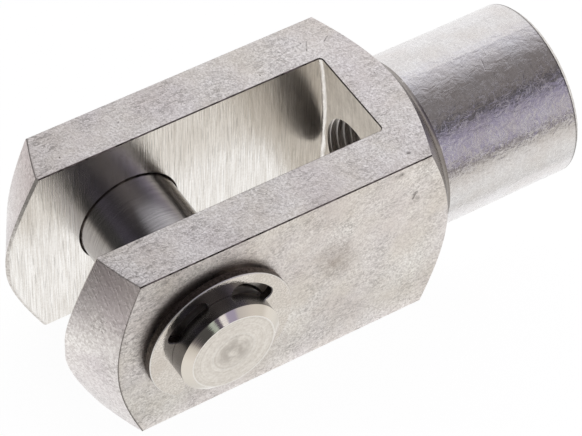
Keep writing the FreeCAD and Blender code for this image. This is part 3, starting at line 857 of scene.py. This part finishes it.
def set_shades(ramp, shades):
    """Set a colour ramp to the given linear colours at the given places."""
    while len(ramp.elements) > 1:
        ramp.elements.remove(ramp.elements[-1])
    ramp.elements[0].position = shades[0][0]
    ramp.elements[0].color = (*shades[0][1], 1.0)
    for place, shade in shades[1:]:
        ramp.elements.new(place).color = (*shade, 1.0)

# %% White paper floor
def paper_floor():
    material, tree = new_material("white_paper_floor")
    parts = parts_of(tree)
    nearness = add(tree, "ShaderNodeMapRange", {
        "Value": (parts, "Y"), "From Min": SHADES_START, "From Max": SHADES_END})
    shades = add(tree, "ShaderNodeValToRGB", {0: nearness})
    set_shades(shades.color_ramp, FLOOR_SHADES)
    from_left = add(tree, "ShaderNodeMapRange", {
        "Value": (parts, "X"), "From Min": LEFT_START, "From Max": LEFT_END, "To Min": DIMMEST},
        interpolation_type="SMOOTHSTEP")
    slanted = add(tree, "ShaderNodeMath", {
        0: (parts, "Y"), 1: RIGHT_SLANT, 2: (parts, "X")}, operation="MULTIPLY_ADD")
    to_right = add(tree, "ShaderNodeMapRange", {
        "Value": slanted, "From Min": 0.0, "From Max": RIGHT_EDGE}, interpolation_type="SMOOTHSTEP")
    lightened = add(tree, "ShaderNodeMix", {
        SHARE: to_right, UNDER: shades, OVER: FLOOR_RIGHT}, data_type="RGBA", blend_type="LIGHTEN")
    dimmed = add(tree, "ShaderNodeVectorMath", {0: (lightened, MIXED), "Scale": from_left}, operation="SCALE")
    path = add(tree, "ShaderNodeLightPath")
    level = laid_over(tree, (path, "Is Camera Ray"), dimmed, PAPER_WHITE)
    shown = [((path, ray), 1.0) for ray in ("Is Camera Ray", "Is Glossy Ray", "Is Transmission Ray")]
    glow = add(tree, "ShaderNodeEmission", {"Color": level, "Strength": weighed(tree, shown)})
    paper = add(tree, "ShaderNodeBsdfDiffuse", {"Color": PAPER_SHARE})
    both = add(tree, "ShaderNodeAddShader", {0: glow, 1: paper})
    add(tree, "ShaderNodeOutputMaterial", {"Surface": both})
    return material


reach = FLOOR_SIZE / 2
floor_corners = [(-reach, -reach, 0.0), (reach, -reach, 0.0), (reach, reach, 0.0), (-reach, reach, 0.0)]
floor_mesh = bpy.data.meshes.new("paper_floor")
floor_mesh.from_pydata(floor_corners, [], [(0, 1, 2, 3)])
floor_mesh.materials.append(paper_floor())
floor = bpy.data.objects.new("paper_floor", floor_mesh)
floor.location.z = fork_low[2]
bpy.context.scene.collection.objects.link(floor)
print(f"floor at {floor.location.z * 1000:.1f} mm")

# %% [markdown]
# The room has three parts. The wall behind the part is bright below and dim above, and it fades into the
# room at its sides. The room is lit from the right. Low in front of the part lies what the sharp bevels
# mirror: dark things on the left, a pale green card, a white one, the lilac room and a warm grey corner. The
# shades of wall and room run from the horizon to straight up, and those of the front from left to right.

# %% Shades of the room
WALL_SHADES = [
    (0.0, (1.0, 1.0, 1.0)), (0.39, (1.0, 1.0, 1.0)), (0.47, (0.95, 0.95, 0.99)), (0.54, (0.82, 0.82, 0.88)),
    (0.61, (0.57, 0.57, 0.61)), (0.68, (0.53, 0.52, 0.55)), (0.74, (0.48, 0.47, 0.49)),
    (0.80, (0.31, 0.29, 0.31)), (1.0, (0.27, 0.25, 0.27))]
ROOM_SHADES = [
    (0.0, (0.42, 0.39, 0.53)), (0.26, (0.41, 0.38, 0.52)), (0.36, (0.34, 0.315, 0.41)),
    (0.43, (0.26, 0.245, 0.31)), (0.485, (0.08, 0.08, 0.09)), (0.53, (0.13, 0.12, 0.125)),
    (0.58, (0.24, 0.22, 0.22)), (0.78, (0.25, 0.235, 0.235))]
FRONT_SHADES = [
    (0.0, (0.08, 0.08, 0.08)), (0.40, (0.08, 0.08, 0.08)), (0.42, (0.45, 0.52, 0.47)),
    (0.465, (0.50, 0.56, 0.52)), (0.475, (0.10, 0.09, 0.11)), (0.52, (0.14, 0.12, 0.16)),
    (0.535, (1.0, 1.0, 1.0)), (0.59, (1.0, 0.99, 1.0)), (0.61, (0.42, 0.39, 0.53)),
    (0.70, (0.41, 0.38, 0.52)), (0.74, (0.60, 0.58, 0.58)), (0.9, (0.76, 0.73, 0.70)),
    (1.0, (0.76, 0.73, 0.70))]
WALL_FADE = (0.50, 0.98)                # how squarely one looks at the wall's middle, from none to all
LIGHT_FADE = (-0.10, 0.38)              # how far to the right one looks, from dimmest to fully lit
FRONT_SIDES = math.radians(60)          # how far the front reaches to the left and to the right
FRONT_TOP = (0.20, 0.30)                # shares of the way up between which the front gives way to the room
WHITE = (1.0, 1.0, 1.0, 1.0)

# %% Room round the part
def studio_room():
    world = bpy.data.worlds.new("soft_studio")
    world.use_nodes = True
    tree = world.node_tree
    tree.nodes.clear()
    way = add(tree, "ShaderNodeTexCoord")
    parts = parts_of(tree, "Generated")
    lift = add(tree, "ShaderNodeMath", {0: (parts, "Z")}, operation="ARCSINE")
    level = add(tree, "ShaderNodeMapRange", {"Value": lift, "From Min": 0.0, "From Max": math.pi / 2})
    wall = add(tree, "ShaderNodeValToRGB", {0: level})
    set_shades(wall.color_ramp, WALL_SHADES)
    room = add(tree, "ShaderNodeValToRGB", {0: level})
    set_shades(room.color_ramp, ROOM_SHADES)
    flat = add(tree, "ShaderNodeVectorMath", {0: (way, "Generated"), 1: (1, 1, 0)}, operation="MULTIPLY")
    unit = add(tree, "ShaderNodeVectorMath", {0: flat}, operation="NORMALIZE")
    back = add(tree, "ShaderNodeVectorMath", {0: unit, 1: BACK}, operation="DOT_PRODUCT")
    share = add(tree, "ShaderNodeMapRange", {
        "Value": (back, "Value"), "From Min": WALL_FADE[0], "From Max": WALL_FADE[1]},
        interpolation_type="SMOOTHSTEP")
    beside = add(tree, "ShaderNodeVectorMath", {0: (way, "Generated"), 1: RIGHT}, operation="DOT_PRODUCT")
    lit = add(tree, "ShaderNodeMapRange", {
        "Value": (beside, "Value"), "From Min": LIGHT_FADE[0], "From Max": LIGHT_FADE[1], "To Min": DIMMEST},
        interpolation_type="SMOOTHSTEP")
    dim = add(tree, "ShaderNodeVectorMath", {0: room, "Scale": lit}, operation="SCALE")
    nearer = add(tree, "ShaderNodeMath", {0: (parts, "Y"), 1: -1.0}, operation="MULTIPLY")
    sideways = add(tree, "ShaderNodeMath", {0: (parts, "X"), 1: nearer}, operation="ARCTAN2")
    aside = add(tree, "ShaderNodeMapRange", {
        "Value": sideways, "From Min": -FRONT_SIDES, "From Max": FRONT_SIDES})
    front = add(tree, "ShaderNodeValToRGB", {0: aside})
    set_shades(front.color_ramp, FRONT_SHADES)
    above = add(tree, "ShaderNodeMapRange", {
        "Value": level, "From Min": FRONT_TOP[0], "From Max": FRONT_TOP[1]})
    fronted = laid_over(tree, above, front, dim)
    both = laid_over(tree, share, fronted, wall)
    path = add(tree, "ShaderNodeLightPath")
    seen = laid_over(tree, (path, "Is Camera Ray"), both, WHITE)
    light = add(tree, "ShaderNodeBackground", {"Color": seen, "Strength": 1.0})
    add(tree, "ShaderNodeOutputWorld", {"Surface": light})
    return world


bpy.context.scene.world = studio_room()
bpy.context.scene.view_settings.view_transform = "Standard"
print("room:", bpy.context.scene.world.name)

# %% [markdown]
# ## Camera
#
# The photograph was taken from the front left and well above, from about half a metre away with a long
# lens, which keeps the bar's edges nearly parallel. The camera was found from the bar's corners, whose
# places on the part are known, and it is turned a little about its own axis.

# %% Camera of the photograph
CAMERA_PLACE = Vector((-0.178565, -0.310318, 0.419526))
CAMERA_AIM = Vector((0.024962, -0.005105, 0.0))
CAMERA_ROLL = math.radians(2.242)
SENSOR_WIDTH, FOCAL_LENGTH = 36.0, 190.408      # in mm
NEAREST, FARTHEST = 0.01, 20.0

ahead = (CAMERA_AIM - CAMERA_PLACE).normalized()
side = ahead.cross(Vector((0.0, 0.0, 1.0))).normalized()
up = side.cross(ahead)
right = side * math.cos(CAMERA_ROLL) + up * math.sin(CAMERA_ROLL)
top = up * math.cos(CAMERA_ROLL) - side * math.sin(CAMERA_ROLL)
turn = Matrix((right, top, -ahead)).transposed()

camera_data = bpy.data.cameras.new("photograph_camera")
camera_data.sensor_fit = "HORIZONTAL"
camera_data.sensor_width = SENSOR_WIDTH
camera_data.lens = FOCAL_LENGTH
camera_data.clip_start = NEAREST
camera_data.clip_end = FARTHEST
camera = bpy.data.objects.new("photograph_camera", camera_data)
camera.matrix_world = Matrix.Translation(CAMERA_PLACE) @ turn.to_4x4()
bpy.context.scene.collection.objects.link(camera)
bpy.context.scene.camera = camera
print(f"camera {(CAMERA_AIM - CAMERA_PLACE).length * 1000:.0f} mm away")
